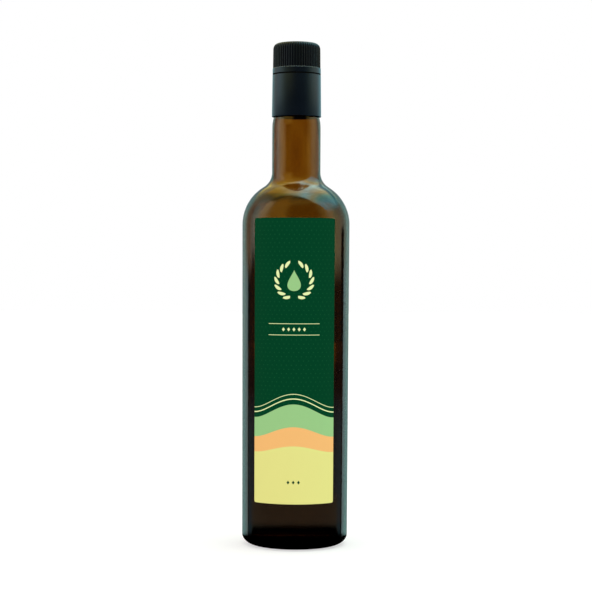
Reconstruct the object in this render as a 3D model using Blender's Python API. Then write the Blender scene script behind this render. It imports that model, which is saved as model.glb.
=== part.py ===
"""Olive oil bottle: a round tinted glass bottle, the oil in it, its metal screw cap
with a long skirt, and the paper label on its front.

Metres, +Z up. The origin is the middle of the base, on the surface that the bottle
stands on. The label faces -Y.
"""
import math

import bmesh
import bpy

# Glass. The shoulder is one arc and one fillet, joined at SHOULDER_SLOPE degrees from
# upright. The wall is set so that 750 ml of oil reaches OIL_LEVEL.
BODY_RADIUS = 0.03531
HEEL_RADIUS = 0.03452
HEEL_WIDTH = 0.0092
HEEL_HEIGHT = 0.0069
SHOULDER_Z = 0.2102
SHOULDER_ARC = 0.02884
SHOULDER_SLOPE = 58.1
NECK_FILLET = 0.01129
NECK_RADIUS = 0.01595
NECK_TOP_Z = 0.2738
NECK_TOP_ARC = 0.026
FINISH_RADIUS = 0.0145
BORE_RADIUS = 0.0105
BORE_ROUNDING = 0.0008
MOUTH_Z = 0.3284
MOUTH_ROUNDING = 0.0023
WALL = 0.0019
PUNT_RADIUS = 0.022
PUNT_HEIGHT = 0.003
FLOOR_Z = 0.0052
FLOOR_CROWN = 0.0022
INNER_HEEL = 0.009

# Oil
OIL_LEVEL = 0.2278

# Metal cap and its skirt, one cone outside, parted at the break line
CAP_HEIGHT = 0.3297
CAP_TOP_RADIUS = 0.01575
CAP_EDGE = 0.0039
CAP_DIP = 0.0003
SKIRT_BOTTOM_Z = 0.2812
SKIRT_BOTTOM_RADIUS = 0.01624
BREAK_Z = 0.3091
KNURL_BOTTOM_Z = 0.3137
KNURL_STEP = 0.0004
RIB_COUNT = 60
RIB_DEPTH = 0.00035
RIB_FADE = 0.0026
METAL = 0.0005
LIP_RADIUS = 0.00025

# Paper label, its middle turned a little to the left of the front
LABEL_BOTTOM_Z = 0.0303
LABEL_TOP_Z = 0.2138
LABEL_HALF_ANGLE = 46.8
LABEL_TURN = -1.6
LABEL_CORNER = 0.0018
PAPER = 0.00025

# Clearance between pieces that touch
GAP = 0.0003

# How finely round shapes are cut: round the axis, along an arc, across the label.
# Edges over SHARP_ANGLE degrees look sharp, and points within SAME_PLACE are one.
ROUND_STEPS = 60
ARC_TOLERANCE = 0.00009
LABEL_COLUMNS = 22
SHARP_ANGLE = 35
SAME_PLACE = 1e-6


def arc(center, radii, start, end):
    """Points (r, z) of an arc, its angles in degrees from +r towards +z.

    Its chords stay within ARC_TOLERANCE of the true arc.
    """
    chord_angle = 2 * math.degrees(math.acos(1 - ARC_TOLERANCE / max(radii)))
    steps = math.ceil(abs(end - start) / chord_angle)
    points = []
    for step in range(steps + 1):
        angle = math.radians(start + (end - start) * step / steps)
        points.append((center[0] + radii[0] * math.cos(angle),
                       center[1] + radii[1] * math.sin(angle)))
    return points


def round_arc(center_r, center_z, radius, start, end):
    """Points of a circle's arc."""
    return arc((center_r, center_z), (radius, radius), start, end)


def joined(*runs):
    """One profile from several runs of points, without repeated points."""
    profile = []
    for run in runs:
        for point in run:
            if not profile or math.dist(profile[-1], point) > SAME_PLACE:
                profile.append(point)
    return profile


def dome(radius, edge_z, height):
    """A shallow dome's profile, from its middle to its edge."""
    sphere = (radius ** 2 + height ** 2) / (2 * height)
    spread = math.degrees(math.asin(radius / sphere))
    return round_arc(0, edge_z + height - sphere, sphere, 90, 90 - spread)


def body_radius(z):
    """Outer radius of the glass from the heel to just over the shoulder's start."""
    if z <= SHOULDER_Z:
        share = (z - HEEL_HEIGHT) / (SHOULDER_Z - HEEL_HEIGHT)
        return HEEL_RADIUS + (BODY_RADIUS - HEEL_RADIUS) * share
    rise = z - SHOULDER_Z
    return BODY_RADIUS - SHOULDER_ARC + math.sqrt(SHOULDER_ARC ** 2 - rise ** 2)


def neck_bottom_z():
    """Height at which the shoulder's fillet meets the straight neck."""
    slope = math.radians(SHOULDER_SLOPE)
    bend = 1 - math.cos(slope)
    straight = (BODY_RADIUS - NECK_RADIUS
                - (SHOULDER_ARC + NECK_FILLET) * bend) / math.sin(slope)
    return (SHOULDER_Z + (SHOULDER_ARC + NECK_FILLET) * math.sin(slope)
            + straight * math.cos(slope))


def shoulder(inset):
    """The shoulder from the body up to the neck, moved inwards by inset."""
    return joined(
        round_arc(BODY_RADIUS - SHOULDER_ARC, SHOULDER_Z, SHOULDER_ARC - inset,
                  0, SHOULDER_SLOPE),
        round_arc(NECK_RADIUS + NECK_FILLET, neck_bottom_z(), NECK_FILLET + inset,
                  180 + SHOULDER_SLOPE, 180))


def neck_top(inset, narrow_radius):
    """The neck's rounded top, from the neck's radius in to narrow_radius."""
    radius = NECK_TOP_ARC - inset
    turn = math.degrees(math.acos(1 - (NECK_RADIUS - inset - narrow_radius) / radius))
    return round_arc(NECK_RADIUS - NECK_TOP_ARC, NECK_TOP_Z, radius, 0, turn)


def hollow_foot(inset):
    """The hollow's floor and heel, from its middle out and up, moved in by inset."""
    floor = FLOOR_Z + inset - WALL
    heel = INNER_HEEL - (inset - WALL)
    heel_center = HEEL_RADIUS - inset - heel
    return joined(
        dome(heel_center, floor, FLOOR_CROWN),
        round_arc(heel_center, floor + heel, heel, -90, 0))


def glass_profile():
    """Outside from the middle of the base up to the mouth, and the hollow back down."""
    outside = joined(
        dome(PUNT_RADIUS, 0, PUNT_HEIGHT),
        arc((HEEL_RADIUS - HEEL_WIDTH, HEEL_HEIGHT), (HEEL_WIDTH, HEEL_HEIGHT), -90, 0),
        shoulder(0),
        neck_top(0, FINISH_RADIUS),
        round_arc(FINISH_RADIUS - MOUTH_ROUNDING, MOUTH_Z - MOUTH_ROUNDING,
                  MOUTH_ROUNDING, 0, 90))
    hollow = joined(
        hollow_foot(WALL),
        shoulder(WALL),
        neck_top(WALL, BORE_RADIUS),
        round_arc(BORE_RADIUS + BORE_ROUNDING, MOUTH_Z - BORE_ROUNDING,
                  BORE_ROUNDING, 180, 90))
    return outside + hollow[::-1]


def oil_profile():
    """The hollow's shape up to the level, clear of the glass."""
    inset = WALL + GAP
    round_radius = SHOULDER_ARC - inset
    level_angle = math.degrees(math.asin((OIL_LEVEL - SHOULDER_Z) / round_radius))
    return joined(
        hollow_foot(inset),
        round_arc(BODY_RADIUS - SHOULDER_ARC, SHOULDER_Z, round_radius, 0, level_angle),
        [(0, OIL_LEVEL)])


def cap_radius(z):
    """Outer radius of the cap and its skirt, round at the cap's top, wider below."""
    side_top = CAP_HEIGHT - CAP_EDGE
    if z > side_top:
        rise = min(CAP_EDGE, z - side_top)
        return CAP_TOP_RADIUS - CAP_EDGE + math.sqrt(CAP_EDGE ** 2 - rise ** 2)
    share = (side_top - z) / (side_top - SKIRT_BOTTOM_Z)
    return CAP_TOP_RADIUS + (SKIRT_BOTTOM_RADIUS - CAP_TOP_RADIUS) * share


def cap_top_profile():
    """Ribbed cap from the middle of its top down its outside, then back up inside."""
    side_top = CAP_HEIGHT - CAP_EDGE
    edge_center = CAP_TOP_RADIUS - CAP_EDGE
    groove_end = KNURL_BOTTOM_Z + KNURL_STEP
    low_z = BREAK_Z + GAP / 2
    wall = METAL + RIB_DEPTH
    return joined(
        [(0, CAP_HEIGHT - CAP_DIP)],
        round_arc(edge_center, side_top, CAP_EDGE, 90, 0),
        [(cap_radius(z), z) for z in (groove_end, KNURL_BOTTOM_Z, low_z)],
        [(cap_radius(low_z) - wall, low_z)],
        round_arc(edge_center, side_top, CAP_EDGE - wall, 0, 90),
        [(0, CAP_HEIGHT - wall)])


def cap_skirt_profile():
    """Closed section of the skirt, down its outside, round its lip and up inside."""
    high_z = BREAK_Z - GAP / 2
    lip_r = SKIRT_BOTTOM_RADIUS - LIP_RADIUS
    return joined(
        [(cap_radius(high_z), high_z)],
        round_arc(lip_r, SKIRT_BOTTOM_Z + LIP_RADIUS, LIP_RADIUS, 0, -180),
        [(cap_radius(high_z) - METAL, high_z)])


def turned_mesh(profile, steps, is_ring=False):
    """Mesh of a profile (r, z) turned once round the Z axis.

    A ring's profile is a closed section; any other starts and ends on the axis.
    """
    bm = bmesh.new()
    corners = [bm.verts.new((r, 0, z)) for r, z in profile]
    edges = [bm.edges.new(pair) for pair in zip(corners, corners[1:])]
    if is_ring:
        edges.append(bm.edges.new((corners[-1], corners[0])))
    bmesh.ops.spin(bm, geom=corners + edges, cent=(0, 0, 0), axis=(0, 0, 1),
                   angle=math.tau, steps=steps, use_merge=True)
    bmesh.ops.remove_doubles(bm, verts=bm.verts, dist=SAME_PLACE)
    bmesh.ops.recalc_face_normals(bm, faces=bm.faces)
    return bm


def groove_depth(z):
    """Depth of the grooves between the ribs: none at the cap's top, then full."""
    if z <= KNURL_BOTTOM_Z + SAME_PLACE:
        return 0
    return RIB_DEPTH * min(1, (CAP_HEIGHT - z) / RIB_FADE)


def cut_grooves(bm):
    """Press a groove in between each two ribs of the cap's outside."""
    for vertex in bm.verts:
        x, y, z = vertex.co
        r = math.hypot(x, y)
        half_rib = round(math.atan2(y, x) / math.tau * 2 * RIB_COUNT)
        if half_rib % 2 and abs(r - cap_radius(z)) < SAME_PLACE:
            shrink = (r - groove_depth(z)) / r
            vertex.co.x *= shrink
            vertex.co.y *= shrink


def label_columns():
    """Arc positions of the label's columns, with how far each corner cuts in there."""
    straight = math.radians(LABEL_HALF_ANGLE) * BODY_RADIUS - LABEL_CORNER
    corner = [(straight + across, LABEL_CORNER - up)
              for across, up in round_arc(0, 0, LABEL_CORNER, 90, 0)]
    middle = [(straight * (2 * step / LABEL_COLUMNS - 1), 0)
              for step in range(1, LABEL_COLUMNS)]
    return [(-along, cut) for along, cut in corner[::-1]] + middle + corner


def label_heights():
    """Heights of the label's rows as shares: a straight run, then over the bend."""
    bend = (SHOULDER_Z - LABEL_BOTTOM_Z) / (LABEL_TOP_Z - LABEL_BOTTOM_Z)
    return (0, bend / 2, bend, (1 + bend) / 2, 1)


def label_mesh():
    """Inner face of the label, bent round the front of the glass."""
    heights = label_heights()
    bm = bmesh.new()
    columns = []
    for along, cut in label_columns():
        angle = along / BODY_RADIUS + math.radians(LABEL_TURN)
        low = LABEL_BOTTOM_Z + cut
        high = LABEL_TOP_Z - cut
        column = []
        for share in heights:
            z = low + (high - low) * share
            r = body_radius(z) + GAP
            column.append(bm.verts.new((r * math.sin(angle), -r * math.cos(angle), z)))
        columns.append(column)
    for left, right in zip(columns, columns[1:]):
        for row in range(len(heights) - 1):
            bm.faces.new((left[row], right[row], right[row + 1], left[row + 1]))
    return bm


def material(name, color, roughness, metallic=0.0, transmission=0.0):
    """Plain material with the piece's own colour and finish."""
    finish = bpy.data.materials.new(name)
    finish.use_nodes = True
    shader = finish.node_tree.nodes["Principled BSDF"]
    shader.inputs["Base Color"].default_value = (*color, 1)
    shader.inputs["Roughness"].default_value = roughness
    shader.inputs["Metallic"].default_value = metallic
    shader.inputs["Transmission Weight"].default_value = transmission
    return finish


def add_piece(name, bm, finish):
    """Object from a mesh, smooth where it is round and sharp at its edges."""
    mesh = bpy.data.meshes.new(name)
    bm.to_mesh(mesh)
    bm.free()
    mesh.shade_smooth()
    mesh.set_sharp_from_angle(angle=math.radians(SHARP_ANGLE))
    mesh.materials.append(finish)
    piece = bpy.data.objects.new(name, mesh)
    bpy.context.scene.collection.objects.link(piece)
    return piece


def make_glass_bottle():
    finish = material("tinted_glass", (0.05, 0.035, 0.012), 0.05, transmission=0.8)
    return add_piece("glass_bottle", turned_mesh(glass_profile(), ROUND_STEPS), finish)


def make_oil():
    finish = material("olive_oil", (0.12, 0.07, 0.006), 0.05, transmission=0.6)
    return add_piece("oil", turned_mesh(oil_profile(), ROUND_STEPS), finish)


def make_cap_top():
    bm = turned_mesh(cap_top_profile(), 2 * RIB_COUNT)
    cut_grooves(bm)
    finish = material("black_metal_ribbed", (0.012, 0.014, 0.016), 0.35, metallic=0.6)
    return add_piece("cap_top", bm, finish)


def make_cap_skirt():
    finish = material("black_metal_smooth", (0.012, 0.014, 0.016), 0.3, metallic=0.6)
    bm = turned_mesh(cap_skirt_profile(), ROUND_STEPS, is_ring=True)
    return add_piece("cap_skirt", bm, finish)


def make_label():
    finish = material("green_paper", (0.0, 0.05, 0.018), 0.55)
    label = add_piece("label_front", label_mesh(), finish)
    paper = label.modifiers.new("paper", "SOLIDIFY")
    paper.thickness = PAPER
    paper.offset = 1
    return label


def main():
    for old in list(bpy.data.objects):
        bpy.data.objects.remove(old)
    bottle = bpy.data.objects.new("olive_oil_bottle", None)
    bpy.context.scene.collection.objects.link(bottle)
    for make in (make_glass_bottle, make_oil, make_cap_top, make_cap_skirt, make_label):
        make().parent = bottle


main()
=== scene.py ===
"""Looks of the olive oil bottle: tinted glass, oil, black screw cap and paper label.

Metres, +Z up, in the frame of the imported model. Heights and radii that the model holds
are read from it, and the pieces here are finer versions of its nodes.
"""
import math

import bmesh
import bpy
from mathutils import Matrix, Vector


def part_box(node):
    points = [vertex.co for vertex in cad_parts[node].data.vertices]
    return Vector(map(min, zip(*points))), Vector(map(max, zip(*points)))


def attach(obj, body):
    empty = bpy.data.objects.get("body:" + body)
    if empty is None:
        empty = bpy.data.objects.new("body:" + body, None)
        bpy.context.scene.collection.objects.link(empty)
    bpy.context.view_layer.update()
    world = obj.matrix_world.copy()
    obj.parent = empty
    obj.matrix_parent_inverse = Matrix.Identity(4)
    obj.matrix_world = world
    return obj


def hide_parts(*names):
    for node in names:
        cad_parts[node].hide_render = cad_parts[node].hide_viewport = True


IMAGE_WIDTH = 592
SENSOR_WIDTH = 36.0

# Camera: level, as far away as the curves of the label and the foot show, rolled a little
CAMERA_DISTANCE = 1.122
CAMERA_HEIGHT = 0.1803
CAMERA_SIDE = 0.00016
CAMERA_ROLL = -0.28
FOCAL_PIXELS = 1700
HORIZON_ROW = 270

# Glass: the model's outline, and how uneven the inside of the wall is
HEEL_RADIUS = 0.03452
HEEL_WIDTH = 0.0092
HEEL_HEIGHT = 0.0069
SHOULDER_Z = 0.2102
SHOULDER_ARC = 0.02884
SHOULDER_SLOPE = 58.1
NECK_FILLET = 0.01129
NECK_RADIUS = 0.01595
NECK_TOP_Z = 0.2738
NECK_TOP_ARC = 0.026
FINISH_RADIUS = 0.0145
BORE_RADIUS = 0.0105
BORE_ROUNDING = 0.0008
MOUTH_ROUNDING = 0.0023
WALL = 0.0019
WALL_LOBE = 0.0002
WALL_DRIFT = 0.00008
LOBE_COUNT = 6
DRIFT_TURN = 1
BEND_THINNING = 0.0006
BEND_Z = 0.2368
BEND_REACH = 0.007
PUNT_RADIUS = 0.022
PUNT_HEIGHT = 0.003
FLOOR_Z = 0.0052
FLOOR_CROWN = 0.0022
INNER_HEEL = 0.009

# Oil: how far it reaches into the glass, and how it climbs the glass at its level
OIL_OVERLAP = 0.0003
MENISCUS_HEIGHT = 0.0016
MENISCUS_WIDTH = 0.0015

# Cap and skirt
CAP_TOP_RADIUS = 0.01575
CAP_EDGE = 0.0039
CAP_DIP = 0.0003
SKIRT_BOTTOM_RADIUS = 0.01624
KNURL_BOTTOM_Z = 0.3130
KNURL_STEP = 0.00024
KNURL_INSET = 0.0002
RIB_COUNT = 60
RIB_DEPTH = 0.00035
RIB_FADE = 0.0026
GROOVE_POWER = 0.75
METAL = 0.0005
EDGE_ROUNDING = 0.0003

# Label
LABEL_HALF_ANGLE = 46.8
LABEL_TURN = -1.6
LABEL_CORNER = 0.0013
PAPER = 0.00012
GLUE = 0.00004
PRINT_UV = "print"

# Floor, and the dark card that shows only through the glass, painted shade for what the glass
# shows
# low down: black near the bottle, brown further out, its rim glowing as painted light from
# CARD_FADE_Z up
FLOOR_HALF = 6.0
FLOOR_GLOW = 0.53
CARD_RADIUS = 0.36
CARD_BLACK = (0.08, 0.14)
CARD_RIM = 0.12
CARD_FADE_Z = 0.09
CARD_GLOW = 0.93
CARD_STEPS = 64
CARD_LIFT = 0.0003

WHITE = (1, 1, 1, 1)
BLACK = (0, 0, 0, 1)
NEAR_BLACK = (0.02, 0.02, 0.02, 1)
DEGREES = 180 / math.pi

# Which of a piece's materials a face takes, where it isn't the first
# The ribs' finish: a darker copy of the lacquer, with painted shade between the ribs
RIB_SHADE_FINISH = 1
# The ledge's finish: a painted highlight
LEDGE_HIGHLIGHT_FINISH = 2
# The break line's finishes on cap and skirt: painted shade of the gap
BREAK_SHADE_CAP_FINISH = 3
BREAK_SHADE_SLEEVE_FINISH = 1
PAPER_FINISH = 1

# How finely round shapes are cut
ROUND_STEPS = 192
RIB_STEPS = 10
NECK_RINGS = 12
ARC_TOLERANCE = 0.000012
LABEL_COLUMNS = 96
LABEL_ROWS = 60
SHARP_ANGLE = 40
SAME_PLACE = 1e-7
ON_SURFACE = 10 * SAME_PLACE

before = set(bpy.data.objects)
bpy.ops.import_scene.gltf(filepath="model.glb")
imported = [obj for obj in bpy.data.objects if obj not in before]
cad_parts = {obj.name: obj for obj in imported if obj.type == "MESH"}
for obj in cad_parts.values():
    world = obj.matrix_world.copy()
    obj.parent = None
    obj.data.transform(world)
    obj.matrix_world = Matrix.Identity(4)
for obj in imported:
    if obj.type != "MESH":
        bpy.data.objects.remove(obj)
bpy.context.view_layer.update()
GLASS_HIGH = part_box("glass_bottle")[1]
OIL_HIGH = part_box("oil")[1]
CAP_LOW, CAP_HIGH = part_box("cap_top")
SKIRT_LOW, SKIRT_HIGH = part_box("cap_skirt")
LABEL_LOW, LABEL_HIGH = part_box("label_front")
BODY_RADIUS = GLASS_HIGH.x
MOUTH_Z = GLASS_HIGH.z
OIL_LEVEL = OIL_HIGH.z
CAP_HEIGHT = CAP_HIGH.z


def arc(center, radii, start, end):
    """Points (r, z) of an arc, its angles in degrees from +r towards +z."""
    chord_angle = 2 * math.degrees(math.acos(1 - ARC_TOLERANCE / max(radii)))
    steps = max(2, math.ceil(abs(end - start) / chord_angle))
    points = []
    for step in range(steps + 1):
        angle = math.radians(start + (end - start) * step / steps)
        points.append((center[0] + radii[0] * math.cos(angle),
                       center[1] + radii[1] * math.sin(angle)))
    return points


def round_arc(center_r, center_z, radius, start, end):
    return arc((center_r, center_z), (radius, radius), start, end)


def joined(*runs):
    """One profile from several runs of points, without repeated points."""
    profile = []
    for run in runs:
        for point in run:
            if not profile or math.dist(profile[-1], point) > SAME_PLACE:
                profile.append(point)
    return profile


def dome(radius, edge_z, height):
    """A shallow dome's profile, from its middle to its edge."""
    sphere = (radius ** 2 + height ** 2) / (2 * height)
    spread = math.degrees(math.asin(radius / sphere))
    return round_arc(0, edge_z + height - sphere, sphere, 90, 90 - spread)


def body_radius(z):
    """Outer radius of the glass from the heel to just over the shoulder's start."""
    if z <= SHOULDER_Z:
        share = (z - HEEL_HEIGHT) / (SHOULDER_Z - HEEL_HEIGHT)
        return HEEL_RADIUS + (BODY_RADIUS - HEEL_RADIUS) * share
    rise = z - SHOULDER_Z
    return BODY_RADIUS - SHOULDER_ARC + math.sqrt(SHOULDER_ARC ** 2 - rise ** 2)


def neck_bottom_z():
    """Height at which the shoulder's fillet meets the straight neck."""
    slope = math.radians(SHOULDER_SLOPE)
    bend = 1 - math.cos(slope)
    straight = (BODY_RADIUS - NECK_RADIUS
                - (SHOULDER_ARC + NECK_FILLET) * bend) / math.sin(slope)
    return (SHOULDER_Z + (SHOULDER_ARC + NECK_FILLET) * math.sin(slope)
            + straight * math.cos(slope))


def shoulder(inset):
    """The shoulder from the body up to the neck, moved inwards by inset."""
    return joined(
        round_arc(BODY_RADIUS - SHOULDER_ARC, SHOULDER_Z, SHOULDER_ARC - inset,
                  0, SHOULDER_SLOPE),
        round_arc(NECK_RADIUS + NECK_FILLET, neck_bottom_z(), NECK_FILLET + inset,
                  180 + SHOULDER_SLOPE, 180))


def neck_top(inset, narrow_radius):
    """The neck's rounded top, from the neck's radius in to narrow_radius."""
    radius = NECK_TOP_ARC - inset
    turn = math.degrees(math.acos(1 - (NECK_RADIUS - inset - narrow_radius) / radius))
    return round_arc(NECK_RADIUS - NECK_TOP_ARC, NECK_TOP_Z, radius, 0, turn)


def hollow_foot(inset):
    """The hollow's floor and heel, from its middle out and up, moved in by inset."""
    floor = FLOOR_Z + inset - WALL
    heel = INNER_HEEL - (inset - WALL)
    heel_center = HEEL_RADIUS - inset - heel
    return joined(
        dome(heel_center, floor, FLOOR_CROWN),
        round_arc(heel_center, floor + heel, heel, -90, 0))


def glass_profile():
    """Outside from the middle of the base up to the mouth, and the hollow back down."""
    outside = joined(
        dome(PUNT_RADIUS, 0, PUNT_HEIGHT),
        arc((HEEL_RADIUS - HEEL_WIDTH, HEEL_HEIGHT), (HEEL_WIDTH, HEEL_HEIGHT), -90, 0),
        shoulder(0),
        neck_top(0, FINISH_RADIUS),
        round_arc(FINISH_RADIUS - MOUTH_ROUNDING, MOUTH_Z - MOUTH_ROUNDING,
                  MOUTH_ROUNDING, 0, 90))
    step = (NECK_TOP_Z - neck_bottom_z()) / NECK_RINGS
    neck = [(NECK_RADIUS - WALL, neck_bottom_z() + step * ring)
            for ring in range(1, NECK_RINGS)]
    hollow = joined(
        hollow_foot(WALL),
        shoulder(WALL),
        neck,
        neck_top(WALL, BORE_RADIUS),
        round_arc(BORE_RADIUS + BORE_ROUNDING, MOUTH_Z - BORE_ROUNDING,
                  BORE_ROUNDING, 180, 90))
    return outside + hollow[::-1]


def oil_profile():
    """The hollow's shape up to the level, a little into the wall, with a meniscus."""
    inset = WALL - OIL_OVERLAP
    round_radius = SHOULDER_ARC - inset
    edge_z = OIL_LEVEL + MENISCUS_HEIGHT
    edge_angle = math.degrees(math.asin((edge_z - SHOULDER_Z) / round_radius))
    edge_r = BODY_RADIUS - SHOULDER_ARC + round_radius * math.cos(math.radians(edge_angle))
    climb = arc((edge_r - MENISCUS_WIDTH, edge_z), (MENISCUS_WIDTH, MENISCUS_HEIGHT),
                0, -90)
    return joined(
        hollow_foot(inset),
        round_arc(BODY_RADIUS - SHOULDER_ARC, SHOULDER_Z, round_radius, 0, edge_angle),
        climb,
        [(0, OIL_LEVEL)])


def cap_radius(z):
    """Outer radius of the cap and its skirt, round at the cap's top, wider below."""
    side_top = CAP_HEIGHT - CAP_EDGE
    if z > side_top:
        rise = min(CAP_EDGE, z - side_top)
        return CAP_TOP_RADIUS - CAP_EDGE + math.sqrt(CAP_EDGE ** 2 - rise ** 2)
    share = (side_top - z) / (side_top - SKIRT_LOW.z)
    return CAP_TOP_RADIUS + (SKIRT_BOTTOM_RADIUS - CAP_TOP_RADIUS) * share


def cap_top_profile():
    """Ribbed cap from the middle of its top down its outside, then back up inside."""
    side_top = CAP_HEIGHT - CAP_EDGE
    edge_center = CAP_TOP_RADIUS - CAP_EDGE
    low_z = CAP_LOW.z
    wall = METAL + RIB_DEPTH
    band_top = KNURL_BOTTOM_Z
    step = KNURL_STEP / 4
    heights = [band_top + KNURL_STEP + step, band_top + KNURL_STEP,
               band_top + KNURL_STEP / 2, band_top, band_top - step,
               low_z + EDGE_ROUNDING + step]
    low_r = cap_radius(low_z) - EDGE_ROUNDING
    dish = [(r, 2 * CAP_HEIGHT - z) for r, z in dome(edge_center, CAP_HEIGHT, CAP_DIP)]
    return joined(
        dish,
        round_arc(edge_center, side_top, CAP_EDGE, 90, 0),
        [(cap_radius(z), z) for z in heights],
        round_arc(low_r, low_z + EDGE_ROUNDING, EDGE_ROUNDING, 0, -90),
        [(cap_radius(low_z) - wall, low_z)],
        round_arc(edge_center, side_top, CAP_EDGE - wall, 0, 90),
        [(0, CAP_HEIGHT - wall)])


def cap_skirt_profile():
    """Closed section of the skirt, down its outside, round its lip and up inside."""
    high_z = SKIRT_HIGH.z
    lip = METAL / 2
    lip_r = SKIRT_BOTTOM_RADIUS - lip
    high_r = cap_radius(high_z) - EDGE_ROUNDING
    return joined(
        round_arc(high_r, high_z - EDGE_ROUNDING, EDGE_ROUNDING, 90, 0),
        round_arc(lip_r, SKIRT_LOW.z + lip, lip, 0, -180),
        [(cap_radius(high_z) - METAL, high_z - EDGE_ROUNDING),
         (cap_radius(high_z) - METAL, high_z)])


def turned_mesh(profile, steps, is_ring=False):
    """Mesh of a profile (r, z) turned once round the Z axis."""
    bm = bmesh.new()
    corners = [bm.verts.new((r, 0, z)) for r, z in profile]
    edges = [bm.edges.new(pair) for pair in zip(corners, corners[1:])]
    if is_ring:
        edges.append(bm.edges.new((corners[-1], corners[0])))
    bmesh.ops.spin(bm, geom=corners + edges, cent=(0, 0, 0), axis=(0, 0, 1),
                   angle=math.tau, steps=steps, use_merge=True)
    bmesh.ops.remove_doubles(bm, verts=bm.verts, dist=SAME_PLACE)
    bmesh.ops.recalc_face_normals(bm, faces=bm.faces)
    return bm


def push_out(vertex, r, distance):
    """Move a vertex at radius r away from the axis."""
    vertex.co.x *= (r + distance) / r
    vertex.co.y *= (r + distance) / r


def cut_grooves(bm):
    """Press rounded grooves in between the ribs of the cap's outside."""
    for vertex in bm.verts:
        x, y, z = vertex.co
        r = math.hypot(x, y)
        if r < CAP_TOP_RADIUS / 2 or abs(r - cap_radius(z)) > ON_SURFACE:
            continue
        rise = min(1, max(0, (z - KNURL_BOTTOM_Z) / KNURL_STEP))
        fade = min(1, max(0, (CAP_HEIGHT - z) / RIB_FADE))
        wave = 0.5 - 0.5 * math.cos(RIB_COUNT * math.atan2(y, x))
        depth = (KNURL_INSET + RIB_DEPTH * wave ** GROOVE_POWER) * rise * fade
        push_out(vertex, r, -depth)
    for face in bm.faces:
        middle = face.calc_center_median().z
        # Faces above the ledge: the darker lacquer, with painted shade between the ribs
        if middle > KNURL_BOTTOM_Z + KNURL_STEP:
            face.material_index = RIB_SHADE_FINISH
        # Faces on the ledge: a painted highlight
        elif middle > KNURL_BOTTOM_Z:
            face.material_index = LEDGE_HIGHLIGHT_FINISH
        # Faces along the break line: painted shade
        elif middle < CAP_LOW.z + EDGE_ROUNDING:
            face.material_index = BREAK_SHADE_CAP_FINISH


def make_wall_uneven(bm):
    """Uneven wall, as in blown glass: lobes round the neck, thinner where it bends."""
    start = neck_bottom_z() - NECK_FILLET / 2
    inner = shoulder(WALL)
    for vertex in bm.verts:
        x, y, z = vertex.co
        r = math.hypot(x, y)
        if any(math.dist((r, z), point) < ON_SURFACE for point in inner):
            share = max(0, 1 - ((z - BEND_Z) / BEND_REACH) ** 2)
            push_out(vertex, r, BEND_THINNING * share ** 2)
        if z < start or z > NECK_TOP_Z or r < BORE_RADIUS / 2 or r > NECK_RADIUS - WALL / 2:
            continue
        fade = min(1, (z - start) / NECK_FILLET, (NECK_TOP_Z - z) / NECK_FILLET)
        angle = math.atan2(x, -y)
        lobe = (WALL_LOBE * math.cos(LOBE_COUNT * angle)
                + WALL_DRIFT * math.cos(angle + DRIFT_TURN))
        push_out(vertex, r, -lobe * fade)


def label_columns():
    """Arc positions of the label's columns, with how far each corner cuts in there."""
    straight = math.radians(LABEL_HALF_ANGLE) * BODY_RADIUS - LABEL_CORNER
    corner = [(straight + across, LABEL_CORNER - up)
              for across, up in round_arc(0, 0, LABEL_CORNER, 90, 0)]
    middle = [(straight * (2 * step / LABEL_COLUMNS - 1), 0)
              for step in range(1, LABEL_COLUMNS)]
    return [(-along, cut) for along, cut in corner[::-1]] + middle + corner


def label_sheet(bm, lift, place):
    """Vertices of one side of the label, in columns, noting each one's place in the print."""
    half_width = math.radians(LABEL_HALF_ANGLE) * BODY_RADIUS
    height = LABEL_HIGH.z - LABEL_LOW.z
    sheet = []
    for along, cut in label_columns():
        angle = along / BODY_RADIUS + math.radians(LABEL_TURN)
        low = LABEL_LOW.z + cut
        high = LABEL_HIGH.z - cut
        column = []
        for row in range(LABEL_ROWS + 1):
            z = low + (high - low) * row / LABEL_ROWS
            r = body_radius(z) + lift
            vertex = bm.verts.new((r * math.sin(angle), -r * math.cos(angle), z))
            place[vertex] = (0.5 + along / (2 * half_width),
                             (z - LABEL_LOW.z) / height)
            column.append(vertex)
        sheet.append(column)
    return sheet


def label_mesh():
    """The label's front face, inner face and paper edge, bent round the glass."""
    bm = bmesh.new()
    uv_layer = bm.loops.layers.uv.new(PRINT_UV)
    place = {}
    inner = label_sheet(bm, GLUE, place)
    outer = label_sheet(bm, GLUE + PAPER, place)
    for sheet, is_front in ((outer, True), (inner, False)):
        for left, right in zip(sheet, sheet[1:]):
            for row in range(LABEL_ROWS):
                corners = [left[row], right[row], right[row + 1], left[row + 1]]
                face = bm.faces.new(corners if is_front else corners[::-1])
                face.material_index = 0 if is_front else PAPER_FINISH
    around_inner = outline(inner)
    around_outer = outline(outer)
    count = len(around_outer)
    for here in range(count):
        after = (here + 1) % count
        face = bm.faces.new((around_inner[here], around_inner[after],
                             around_outer[after], around_outer[here]))
        face.material_index = PAPER_FINISH
    for face in bm.faces:
        for loop in face.loops:
            loop[uv_layer].uv = place[loop.vert]
    bmesh.ops.recalc_face_normals(bm, faces=bm.faces)
    return bm


def outline(sheet):
    """The vertices round a sheet's edge, in order."""
    bottom = [column[0] for column in sheet]
    top = [column[-1] for column in sheet]
    return bottom[:-1] + sheet[-1][:-1] + top[:0:-1] + sheet[0][:0:-1]


def linear(red, green, blue):
    """Colour of a surface from 0 to 255 screen values."""
    channels = []
    for value in (red, green, blue):
        share = value / 255
        channels.append(share / 12.92 if share <= 0.04045
                        else ((share + 0.055) / 1.055) ** 2.4)
    return (*channels, 1)


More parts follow.
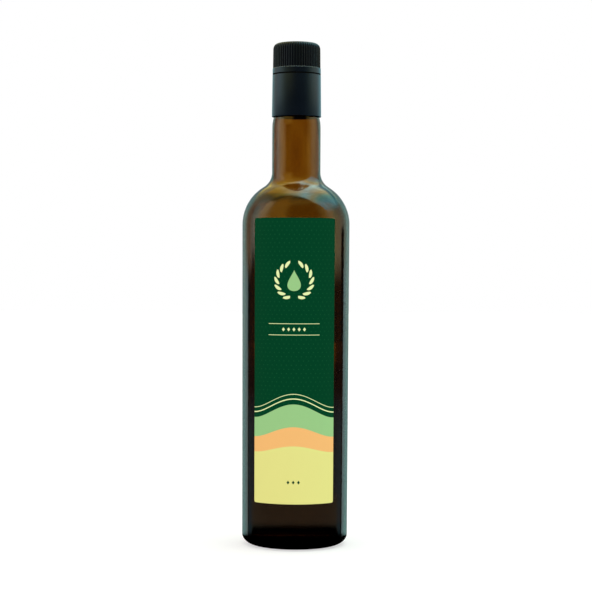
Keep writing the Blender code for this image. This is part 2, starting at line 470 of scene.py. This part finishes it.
class Signal:
    """A number worked out by Math nodes, so that it can be written as arithmetic."""

    def __init__(self, tree, socket):
        self.tree = tree
        self.socket = socket

    def math(self, operation, *others):
        node = self.tree.nodes.new("ShaderNodeMath")
        node.operation = operation
        for slot, value in zip(node.inputs, (self, *others)):
            if isinstance(value, Signal):
                self.tree.links.new(value.socket, slot)
            else:
                slot.default_value = value
        return Signal(self.tree, node.outputs[0])

    def __add__(self, other):
        return self.math("ADD", other)

    def __sub__(self, other):
        return self.math("SUBTRACT", other)

    def __mul__(self, other):
        return self.math("MULTIPLY", other)

    def size(self):
        return self.math("ABSOLUTE")

    def power(self, exponent):
        return self.math("POWER", exponent)

    def sine(self):
        return self.math("SINE")

    def smaller(self, other):
        return self.math("MINIMUM", other)

    def larger(self, other):
        return self.math("MAXIMUM", other)

    def repeated(self, spacing):
        """Distance from the middle of each stretch of the given length."""
        return self.math("WRAP", spacing / 2, -spacing / 2)

    def clamped(self):
        return self.larger(0.0).smaller(1.0)

    def clamped_to(self, low, high):
        return self.larger(low).smaller(high)

    def rising(self, low, high):
        """0 below low, 1 above high, smooth between; 1 below and 0 above if low is higher."""
        node = self.tree.nodes.new("ShaderNodeMapRange")
        node.interpolation_type = "SMOOTHSTEP"
        self.tree.links.new(self.socket, node.inputs["Value"])
        node.inputs["From Min"].default_value = low
        node.inputs["From Max"].default_value = high
        return Signal(self.tree, node.outputs["Result"])


def near(signal, middle, border):
    """1 round a number and 0 away from it, with a soft border."""
    return (signal - middle).size().rising(*border)


def coordinates(tree, kind):
    """The x, y and z of a Texture Coordinate output."""
    place = tree.nodes.new("ShaderNodeTexCoord")
    split = tree.nodes.new("ShaderNodeSeparateXYZ")
    tree.links.new(place.outputs[kind], split.inputs["Vector"])
    return [Signal(tree, split.outputs[axis]) for axis in "XYZ"]


def four_sides(around):
    """1 in front, behind and at both sides, 0 in the gaps between them."""
    return around.repeated(SIDE_SPACING).size().rising(*SIDE_BORDER)


def turned(x, y, degrees):
    """Coordinates in axes turned by an angle."""
    cosine = math.cos(math.radians(degrees))
    sine = math.sin(math.radians(degrees))
    return x * cosine + y * sine, y * cosine - x * sine


def length_of(x, y):
    return (x * x + y * y).math("SQRT")


def feed(tree, value, socket):
    """Put a colour, or the output that gives one, on a socket."""
    if isinstance(value, tuple):
        socket.default_value = value
    else:
        tree.links.new(value, socket)


def chosen(tree, factor, below, above):
    """One colour or the other, by a factor from 0 to 1."""
    mix = tree.nodes.new("ShaderNodeMix")
    mix.data_type = "RGBA"
    tree.links.new(factor, mix.inputs["Factor"])
    feed(tree, below, mix.inputs["A"])
    feed(tree, above, mix.inputs["B"])
    return mix.outputs["Result"]


def painted(tree, below, ink, color):
    """A colour laid over what is below it, where the ink is."""
    return chosen(tree, ink.socket, below, color)


def new_material(name):
    """A material with its node tree and its main shader."""
    finish = bpy.data.materials.new(name)
    finish.use_nodes = True
    return finish, finish.node_tree, finish.node_tree.nodes["Principled BSDF"]


def set_values(shader, values):
    """Constants on the shader's own sockets."""
    for name, value in values.items():
        shader.inputs[name].default_value = value


def add_noise(tree, scale, detail, stretch=(1, 1, 1)):
    """Noise in the object's own metres, stretched along its axes."""
    place = tree.nodes.new("ShaderNodeTexCoord")
    mapping = tree.nodes.new("ShaderNodeMapping")
    mapping.inputs["Scale"].default_value = stretch
    noise = tree.nodes.new("ShaderNodeTexNoise")
    noise.inputs["Scale"].default_value = scale
    noise.inputs["Detail"].default_value = detail
    tree.links.new(place.outputs["Object"], mapping.inputs["Vector"])
    tree.links.new(mapping.outputs["Vector"], noise.inputs["Vector"])
    return Signal(tree, noise.outputs["Fac"])


def vary_color(tree, shader, noise, dark, light):
    """Base colour that goes from dark to light with the noise."""
    shade = painted(tree, (*dark, 1), noise, (*light, 1))
    tree.links.new(shade, shader.inputs["Base Color"])


def vary_roughness(tree, shader, noise, least, spread):
    """Roughness that goes up from the least with the noise."""
    roughness = noise * spread + least
    tree.links.new(roughness.socket, shader.inputs["Roughness"])


def add_bump(tree, shader, height, distance, strength):
    bump = tree.nodes.new("ShaderNodeBump")
    bump.inputs["Strength"].default_value = strength
    bump.inputs["Distance"].default_value = distance
    tree.links.new(height.socket, bump.inputs["Height"])
    tree.links.new(bump.outputs["Normal"], shader.inputs["Normal"])


def add_absorption(tree, color, density):
    """Colour that light takes on along its way through the piece."""
    volume = tree.nodes.new("ShaderNodeVolumeAbsorption")
    volume.inputs["Color"].default_value = (*color, 1)
    volume.inputs["Density"].default_value = density
    output = tree.nodes["Material Output"]
    tree.links.new(volume.outputs["Volume"], output.inputs["Volume"])


def glass_material():
    """Amber-brown glass, slightly wavy along the bottle as blown glass is."""
    finish, tree, shader = new_material("tinted_glass_look")
    set_values(shader, {"Base Color": WHITE, "Transmission Weight": 1, "IOR": 1.5})
    streaks = add_noise(tree, scale=60, detail=3, stretch=(1, 1, 0.12))
    vary_roughness(tree, shader, streaks, least=0.005, spread=0.03)
    add_bump(tree, shader, streaks, distance=0.0005, strength=0.12)
    add_absorption(tree, color=(0.70, 0.53, 0.0), density=1740)
    return finish


def oil_material():
    """Clear oil of a greenish gold, with a slight haze."""
    finish, tree, shader = new_material("olive_oil_look")
    set_values(shader, {"Base Color": WHITE, "Transmission Weight": 1, "IOR": 1.47})
    haze = add_noise(tree, scale=40, detail=2)
    vary_roughness(tree, shader, haze, least=0, spread=0.02)
    add_absorption(tree, color=(0.8, 0.82, 0.0), density=34)
    return finish


def cap_material(name, specular, sheen):
    """Black satin lacquer on metal, with the fine grain of sprayed paint."""
    finish, tree, shader = new_material(name)
    grain = add_noise(tree, scale=2500, detail=4)
    clouds = add_noise(tree, scale=90, detail=3)
    vary_color(tree, shader, clouds, dark=(0.0012, 0.001, 0.0016), light=(0.0024, 0.002, 0.003))
    vary_roughness(tree, shader, clouds, least=0.3, spread=0.1)
    set_values(shader, {
        "Specular IOR Level": specular, "Specular Tint": (0.27, 0.52, 1.0, 1),
        "Sheen Weight": sheen, "Sheen Roughness": 0.45, "Sheen Tint": (0.3, 0.7, 1.0, 1)})
    add_bump(tree, shader, grain, distance=0.00003, strength=0.35)
    return finish


def ledge_highlight_material():
    """A painted highlight on the ledge under the ribs: a lighter teal colour, mottled."""
    finish, tree, shader = new_material("ledge_highlight_look")
    highlight_mottle = add_noise(tree, scale=300, detail=3)
    vary_color(tree, shader, highlight_mottle, dark=(0.07, 0.1, 0.105), light=(0.22, 0.28, 0.29))
    vary_roughness(tree, shader, highlight_mottle, least=0.25, spread=0.2)
    return finish


def break_shade_material():
    """Dull dark edges along the break line: painted shade of the gap there."""
    finish, tree, shader = new_material("break_shade_look")
    shade_mottle = add_noise(tree, scale=400, detail=2)
    vary_color(tree, shader, shade_mottle, dark=(0.001, 0.001, 0.0012), light=(0.003, 0.003, 0.0036))
    set_values(shader, {"Roughness": 0.8, "Specular IOR Level": 0.08})
    return finish


def paper_edge_material():
    """Bare paper at the label's cut edge and on its back."""
    finish, tree, shader = new_material("bare_paper_look")
    fibres = add_noise(tree, scale=3000, detail=3)
    vary_color(tree, shader, fibres, dark=(0.72, 0.70, 0.62), light=(0.85, 0.84, 0.78))
    set_values(shader, {"Roughness": 0.8})
    return finish


def label_material():
    """Printed paper: a green field over waves of light green, orange and yellow."""
    finish, tree, shader = new_material("printed_paper_look")
    uv = tree.nodes.new("ShaderNodeUVMap")
    uv.uv_map = PRINT_UV
    split = tree.nodes.new("ShaderNodeSeparateXYZ")
    tree.links.new(uv.outputs["UV"], split.inputs["Vector"])
    half_width = MILLIMETRES * math.radians(LABEL_HALF_ANGLE) * BODY_RADIUS
    height = MILLIMETRES * (LABEL_HIGH.z - LABEL_LOW.z)
    across = (Signal(tree, split.outputs["X"]) - 0.5) * (2 * half_width)
    up = Signal(tree, split.outputs["Y"]) * height
    ink = print_design(tree, across, up)
    tree.links.new(ink, shader.inputs["Base Color"])
    set_values(shader, {"Specular IOR Level": 0.02})
    fibres = add_noise(tree, scale=2500, detail=4)
    vary_roughness(tree, shader, fibres, least=0.55, spread=0.12)
    add_bump(tree, shader, fibres, distance=0.00003, strength=0.3)
    return finish


# Print on the label. Lengths are in millimetres, heights from the label's lower edge, and an
# ink's edge is how far it takes to cover the paper.
MILLIMETRES = 1000
INK_EDGE = 0.07
BEAD_INK_EDGE = 0.2
GREEN = linear(0, 61, 35)
PALE_GREEN = linear(22, 84, 50)
ORANGE = linear(237, 180, 113)
LIGHT_GREEN = linear(148, 193, 131)
YELLOW = linear(221, 217, 134)
CREAM = linear(222, 233, 172)

DOT_RADIUS = 0.28
DOT_COLUMN = 3.2
DOT_ROW = 5.4
DOT_INK_EDGE = 0.15

# Each hill's mean height, how far it swells above and below that, and its colour, and the
# mean height and half width of the lines over them. HILL_BEND is in radians per millimetre.
HILL_BEND = 0.109
HILLS = ((59.5, 4.5, LIGHT_GREEN), (46, 3.4, ORANGE), (35, 2.2, YELLOW))
HILL_LINES = ((63.0, 0.35), (66.0, 0.22))
LINE_SWELL = 4.5

WREATH_UP = 143
WREATH_RADIUS = 11.5
WREATH_GAP = 2.6
LEAF_SPACING = math.pi / 8
LEAF_LENGTH = 6.6
LEAF_WIDTH = 2.0
LEAF_SLANT = 32
DROP_BELOW = 6.5
DROP_HEIGHT = 14
DROP_FULLNESS = 13.2
DROP_TRIM = 0.12
DROP_INK_EDGE = 0.12
DROP_FOOT_POWER = 0.5
DROP_TIP_POWER = 1.4

BEAD_SPACING = 3.4
BEAD_HALF_WIDTH = 0.95
BEAD_HALF_HEIGHT = 1.25
RULED_UP = 112
RULED_BEADS = 5
RULE_RISE = 3.6
RULE_HALF_LINE = 0.18
RULE_HALF_LENGTH = 17
LOW_BEADS_UP = 14
LOW_BEADS = 3


def disc(x, y, radius):
    """Distance outside a disc, below zero inside it."""
    return length_of(x, y) - radius


def leaf(x, y, length, width):
    """Distance outside a leaf with two pointed ends, lying along x."""
    bow = (length ** 2 + width ** 2) / (4 * width)
    return length_of(x, y.size() + (bow - width / 2)) - bow


def diamond(x, y, half_width, half_height):
    """Below zero inside a diamond, 1 at twice its size."""
    return x.size() * (1 / half_width) + y.size() * (1 / half_height) - 1


def inked(distance, edge=INK_EDGE):
    """How much ink covers the paper, from the distance outside a shape."""
    return (distance * (-1 / edge) + 0.5).clamped()


def print_design(tree, across, up):
    """The colours of the label, from the lowest layer to the topmost."""
    dots = disc(across.repeated(DOT_COLUMN), up.repeated(DOT_ROW), DOT_RADIUS)
    other_dots = disc((across + DOT_COLUMN / 2).repeated(DOT_COLUMN),
                      (up + DOT_ROW / 2).repeated(DOT_ROW), DOT_RADIUS)
    color = painted(tree, GREEN, inked(dots.smaller(other_dots), DOT_INK_EDGE), PALE_GREEN)
    arch = (across.size() * HILL_BEND + math.pi / 2).sine()
    for mean, half_line in HILL_LINES:
        crest = (up - (arch * LINE_SWELL + mean)).size() - half_line
        color = painted(tree, color, inked(crest), CREAM)
    for mean, swell, shade in HILLS:
        color = painted(tree, color, inked(up - (arch * swell + mean)), shade)
    color = wreath(tree, color, across, up - WREATH_UP)
    color = ruled_row(tree, color, across, up - RULED_UP)
    low_beads = bead_row(across, up - LOW_BEADS_UP, LOW_BEADS)
    return painted(tree, color, inked(low_beads, BEAD_INK_EDGE), GREEN)


def wreath(tree, color, x, y):
    """Two curved twigs of leaves round a drop of oil."""
    side = x.size()
    angle = side.math("ARCTAN2", y * -1.0)
    along = angle.repeated(LEAF_SPACING) * WREATH_RADIUS
    out = length_of(side, y) - WREATH_RADIUS
    upward, off = turned(along, out, LEAF_SLANT)
    leaves = leaf(upward, off, LEAF_LENGTH, LEAF_WIDTH)
    leaves = leaves.larger((side - WREATH_GAP) * -1.0)
    color = painted(tree, color, inked(leaves), CREAM)
    share = ((y + DROP_BELOW) * (1 / DROP_HEIGHT)).clamped()
    narrowing = (share * -1.0 + 1).power(DROP_TIP_POWER)
    edge = share.power(DROP_FOOT_POWER) * narrowing * DROP_FULLNESS - DROP_TRIM
    return painted(tree, color, inked(side - edge, DROP_INK_EDGE), LIGHT_GREEN)


def bead_row(x, y, count):
    """A short row of diamonds."""
    beads = diamond(x.repeated(BEAD_SPACING), y, BEAD_HALF_WIDTH, BEAD_HALF_HEIGHT)
    return beads.larger(x.size() - BEAD_SPACING * count / 2)


def ruled_row(tree, color, x, y):
    """A row of diamonds between two thin rules."""
    rules = (y.size() - RULE_RISE).size() - RULE_HALF_LINE
    rules = rules.larger(x.size() - RULE_HALF_LENGTH)
    beads = bead_row(x, y, RULED_BEADS)
    color = painted(tree, color, inked(beads, BEAD_INK_EDGE), CREAM)
    return painted(tree, color, inked(rules), CREAM)


def add_object(name, bm, finishes):
    """Object from a mesh, with its materials."""
    mesh = bpy.data.meshes.new(name)
    bm.to_mesh(mesh)
    bm.free()
    for finish in finishes:
        mesh.materials.append(finish)
    thing = bpy.data.objects.new(name, mesh)
    bpy.context.scene.collection.objects.link(thing)
    return thing


def add_piece(name, bm, finishes, node):
    """Object that stands for a node of the model, smooth where it is round."""
    piece = add_object(name, bm, finishes)
    piece.data.shade_smooth()
    piece.data.set_sharp_from_angle(angle=math.radians(SHARP_ANGLE))
    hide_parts(node)
    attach(piece, "root")


def make_bottle():
    """The five pieces of the bottle."""
    glass = turned_mesh(glass_profile(), ROUND_STEPS)
    make_wall_uneven(glass)
    add_piece("bottle_glass", glass, [glass_material()], "glass_bottle")
    oil = turned_mesh(oil_profile(), ROUND_STEPS)
    add_piece("oil_fill", oil, [oil_material()], "oil")
    lacquer = cap_material("black_lacquer_look", specular=0.6, sheen=0.3)
    # The ribs take the same lacquer with less gloss and sheen: a darker copy that paints the
    # shade between them.
    rib_shade_lacquer = cap_material("rib_shade_lacquer_look", specular=0.22, sheen=0.08)
    # The edges along the break line take painted shade.
    break_shade = break_shade_material()
    ribbed = turned_mesh(cap_top_profile(), RIB_COUNT * RIB_STEPS)
    cut_grooves(ribbed)
    # The ledge under the ribs takes a painted highlight.
    add_piece("ribbed_cap", ribbed, [lacquer, rib_shade_lacquer, ledge_highlight_material(), break_shade],
              "cap_top")
    sleeve = turned_mesh(cap_skirt_profile(), ROUND_STEPS, is_ring=True)
    # The skirt's top edge along the break line takes painted shade.
    for face in sleeve.faces:
        if face.calc_center_median().z > SKIRT_HIGH.z - EDGE_ROUNDING:
            face.material_index = BREAK_SHADE_SLEEVE_FINISH
    add_piece("cap_sleeve", sleeve, [lacquer, break_shade], "cap_skirt")
    add_piece("paper_label", label_mesh(), [label_material(), paper_edge_material()],
              "label_front")


def make_floor():
    """A pale floor that only the camera and soft light see."""
    bm = bmesh.new()
    corners = [bm.verts.new((x * FLOOR_HALF, y * FLOOR_HALF, 0))
               for x, y in ((-1, -1), (1, -1), (1, 1), (-1, 1))]
    bm.faces.new(corners)
    finish, tree, shader = new_material("pale_floor")
    mottle = add_noise(tree, scale=3, detail=2)
    vary_color(tree, shader, mottle, dark=(0.54, 0.54, 0.54), light=(0.56, 0.56, 0.56))
    set_values(shader, {"Roughness": 1, "Specular IOR Level": 0,
                        "Emission Color": WHITE, "Emission Strength": FLOOR_GLOW})
    floor = add_object("floor", bm, [finish])
    floor.visible_glossy = False
    floor.visible_transmission = False


def make_shade_card():
    """A dark card with an upright rim that shows only through the glass, low down: painted
    shade there, its rim glowing as painted light.
    """
    finish, tree, shader = new_material("shade_card")
    x, y, z = coordinates(tree, "Object")
    far = length_of(x, y).rising(*CARD_BLACK)
    vary_color(tree, shader, far, dark=(0, 0, 0), light=(0.1, 0.075, 0.05))
    walls = four_sides(x.math("ARCTAN2", y) * DEGREES)
    glow = z.rising(CARD_FADE_Z, CARD_RIM) * walls * CARD_GLOW
    tree.links.new(glow.socket, shader.inputs["Emission Strength"])
    set_values(shader, {"Roughness": 1, "Specular IOR Level": 0, "Emission Color": WHITE})
    bm = turned_mesh([(0, 0), (CARD_RADIUS, 0), (CARD_RADIUS, CARD_RIM)], CARD_STEPS)
    card = add_object("shade_card", bm, [finish])
    card.location.z = CARD_LIFT
    card.visible_camera = False
    card.visible_diffuse = False
    card.visible_glossy = False
    card.visible_shadow = False


def make_light():
    """Soft studio light: white all round for the paper, panels for the glass to mirror."""
    world = bpy.data.worlds.new("studio")
    bpy.context.scene.world = world
    world.use_nodes = True
    tree = world.node_tree
    ray = tree.nodes.new("ShaderNodeLightPath")
    x, y, z = coordinates(tree, "Generated")
    around = x.math("ARCTAN2", y) * DEGREES
    rise = z.math("ARCTAN2", length_of(x, y)) * DEGREES
    over = z.math("ARCTAN2", y * -1.0) * DEGREES
    mirrored = mirrored_light(tree, x, around, rise, over)
    passed = passed_light(tree, around, rise)
    color = chosen(tree, ray.outputs["Is Transmission Ray"], mirrored, passed)
    color = chosen(tree, ray.outputs["Is Diffuse Ray"], color, WHITE)
    color = chosen(tree, ray.outputs["Is Camera Ray"], color, WHITE)
    tree.links.new(color, tree.nodes["Background"].inputs["Color"])


def ramp(tree, signal, low, high, stops):
    """Colour by a number from low to high, with stops of (number, red, green, blue)."""
    node = tree.nodes.new("ShaderNodeValToRGB")
    share = (signal - low) * (1 / (high - low))
    tree.links.new(share.socket, node.inputs["Fac"])
    elements = node.color_ramp.elements
    while len(elements) < len(stops):
        elements.new(0.5)
    for element, stop in zip(elements, stops):
        element.position = (stop[0] - low) / (high - low)
    for element, stop in zip(elements, stops):
        element.color = (*stop[1:], 1)
    return node.outputs["Color"]


# What the glass mirrors and what shows through it. Angles are in degrees: around is 0
# straight behind and -90 at the left, rise goes up from the horizon, and over goes from the
# front horizon over the top to the back. x runs from -1 at the left to 1 at the right. A
# pair says where a soft border starts and where it ends. HIGH_RING is above the horizon
# and LOW_RING below it, both by around, and CEILING goes by x.
HIGH_RING = (
    (-180, 0.02, 0.02, 0.02), (-134, 0.02, 0.02, 0.02), (-116, 1.5, 1.2, 0.55),
    (-105, 2.1, 1.7, 0.85), (-86, 1.9, 1.8, 1.3), (-72, 1.0, 1.0, 0.8),
    (-62, 0.85, 0.5, 0.3), (-52, 0.7, 0.52, 0.33), (-36, 0.46, 0.82, 0.74),
    (-20, 0.3, 0.45, 0.45), (0, 0.2, 0.3, 0.3), (20, 0.3, 0.48, 0.46),
    (36, 0.46, 0.91, 0.84), (50, 0.62, 0.72, 0.55), (65, 0.85, 0.68, 0.45),
    (87, 1.6, 1.3, 0.6), (100, 1.5, 1.2, 0.6), (112, 0.9, 0.7, 0.2),
    (132, 0.02, 0.02, 0.02), (180, 0.02, 0.02, 0.02))
LOW_RING = (
    (-180, 0.02, 0.02, 0.02), (-57, 0.04, 0.04, 0.04), (-52, 0.7, 0.95, 0.92),
    (-36, 0.46, 0.85, 0.8), (-20, 0.3, 0.45, 0.45), (0, 0.2, 0.3, 0.3),
    (20, 0.3, 0.48, 0.46), (36, 0.46, 0.91, 0.84), (52, 0.7, 1.0, 1.0),
    (57, 0.04, 0.04, 0.04), (180, 0.02, 0.02, 0.02))
CEILING = (
    (-1, 1.2, 1.4, 1.2), (-0.8, 0.9, 1.0, 0.8), (-0.57, 1.0, 0.8, 0.3),
    (-0.5, 1.8, 1.15, 0.2), (-0.32, 2.8, 2.1, 0.4), (0, 3.9, 3.9, 2.2),
    (0.22, 3.1, 5.2, 4.9), (0.44, 3.5, 3.3, 1.7), (0.58, 1.3, 3.1, 2.5),
    (0.7, 0.9, 2.6, 2.9), (1, 0.5, 1.2, 1.1))

# The four sides, in front, behind, left and right, with gaps between them
SIDE_SPACING = 90
SIDE_BORDER = (34, 27)
PASSED_RISE = (20, 13)

# The side panels' lower border, which leans up a little at the left
HORIZON = (-0.5, 1.3)
LEAN_START = 64
LEAN_REACH = 10
LEAN_SLOPE = 0.08

# Overhead, a warm patch at the front left, and a dark notch low at the back right
TOP_RISE = (44, 56)
TOP_COLOR = (0.5, 0.42, 0.1, 1)
PATCH_AROUND = -138
PATCH_BORDER = (32, 12)
PATCH_RISE = (8, 18)
PATCH_COLOR = (1.2, 0.7, 0.12, 1)
NOTCH_AROUND = 59.5
NOTCH_BORDER = (6.5, 4)
NOTCH_RISE = (2.3, 1.9)

# The ceiling: its front edge slants, a dark strip with a rounded end runs along its middle,
# it fades towards the back, most in a gap at the left, and turns teal at the back right
CEILING_RISE = (22, 34)
CEILING_FRONT = (74, 84)
SLANT_SIDES = (-0.4, 0.5)
SLANT = 20
STRIP_OVER = 122
STRIP_END = 17
STRIP_WIDTH = 0.18
STRIP_BORDER = (0.85, 1.1)
FADE_OVER = (90, 102)
FADE_SHARE = 0.2
GAP_OVER = 134
GAP_BORDER = (17, 7)
GAP_SIDE = (-0.05, -0.2)
GAP_SHARE = 0.6
TEAL_OVER = (126, 142)
TEAL_SIDE = (0.05, 0.25)
TEAL = (0.15, 0.68, 0.8, 1)

# Below the horizon: a blue glow and a brown band under it, both everywhere but behind, then
# black all round, BLACK_LIFT degrees higher where the band is. FOOT_LIFT makes up for how
# the smooth shading of the tall faces lowers what the foot mirrors.
GLOW_RISE = (-4.6, -6.5)
GLOW_AROUND = (57, 62)
GLOW_COLOR = (0.1, 0.18, 0.21, 1)
FOOT_LIFT = 3.66
BAND_RISE = (-6.9, -7.7)
BAND_AROUND = (66, 80)
BAND_COLOR = (0.24, 0.21, 0.14, 1)
BLACK_RISE = (-8.75, -9.02)
BLACK_LIFT = 0.28


def mirrored_light(tree, x, around, rise, over):
    """Side panels that end at the horizon, a ceiling over them, dark in front."""
    low = ramp(tree, around, -180, 180, LOW_RING)
    high = ramp(tree, around, -180, 180, HIGH_RING)
    lean = (around * -1.0 - LEAN_START).clamped_to(0, LEAN_REACH) * LEAN_SLOPE
    color = chosen(tree, (rise - lean).rising(*HORIZON).socket, low, high)
    color = painted(tree, color, rise.rising(*TOP_RISE), TOP_COLOR)
    patch = near(around, PATCH_AROUND, PATCH_BORDER) * rise.rising(*PATCH_RISE)
    color = painted(tree, color, patch, PATCH_COLOR)
    color = with_ceiling(tree, color, x, rise, over)
    notch = near(around, NOTCH_AROUND, NOTCH_BORDER) * rise.rising(*NOTCH_RISE)
    color = painted(tree, color, notch, NEAR_BLACK)
    return with_foot(tree, color, around, rise)


def with_ceiling(tree, color, x, rise, over):
    """The ceiling laid over the side panels."""
    ceiling = ramp(tree, x, -1, 1, CEILING)
    strip = length_of((over - STRIP_OVER).smaller(0.0) * (1 / STRIP_END), x * (1 / STRIP_WIDTH))
    slanted = over + x.clamped_to(*SLANT_SIDES) * SLANT
    lit = slanted.rising(*CEILING_FRONT) * strip.rising(*STRIP_BORDER)
    lit = lit * rise.rising(*CEILING_RISE)
    gap = near(over, GAP_OVER, GAP_BORDER) * x.rising(*GAP_SIDE) * GAP_SHARE
    fading = (over.rising(*FADE_OVER) * FADE_SHARE).larger(gap)
    dimmed = lit * (fading * -1.0 + 1)
    color = chosen(tree, dimmed.socket, color, ceiling)
    teal = lit * over.rising(*TEAL_OVER) * x.rising(*TEAL_SIDE)
    return painted(tree, color, teal, TEAL)


def with_foot(tree, color, around, rise):
    """What the glass mirrors below the horizon."""
    glow = rise.rising(*GLOW_RISE) * around.size().rising(*GLOW_AROUND)
    color = painted(tree, color, glow, GLOW_COLOR)
    level = rise + (around.size() * (0.5 / DEGREES)).sine() * FOOT_LIFT
    sides = around.size().rising(*BAND_AROUND)
    color = painted(tree, color, level.rising(*BAND_RISE) * sides, BAND_COLOR)
    dark = (level - sides * BLACK_LIFT).rising(*BLACK_RISE)
    return painted(tree, color, dark, BLACK)


def passed_light(tree, around, rise):
    """What shows through the glass: low white walls on four sides, dark in between."""
    walls = four_sides(around) * rise.rising(*PASSED_RISE)
    return painted(tree, NEAR_BLACK, walls, WHITE)


def make_camera():
    data = bpy.data.cameras.new("camera")
    data.sensor_width = SENSOR_WIDTH
    data.lens = FOCAL_PIXELS / IMAGE_WIDTH * SENSOR_WIDTH
    data.shift_y = (HORIZON_ROW - IMAGE_WIDTH / 2) / IMAGE_WIDTH
    camera = bpy.data.objects.new("camera", data)
    camera.location = (CAMERA_SIDE, -CAMERA_DISTANCE, CAMERA_HEIGHT)
    camera.rotation_mode = "XYZ"
    camera.rotation_euler = (math.radians(90), math.radians(CAMERA_ROLL), 0)
    bpy.context.scene.collection.objects.link(camera)
    bpy.context.scene.camera = camera


make_bottle()
make_floor()
make_shade_card()
make_light()
make_camera()
bpy.context.scene.view_settings.view_transform = "Standard"
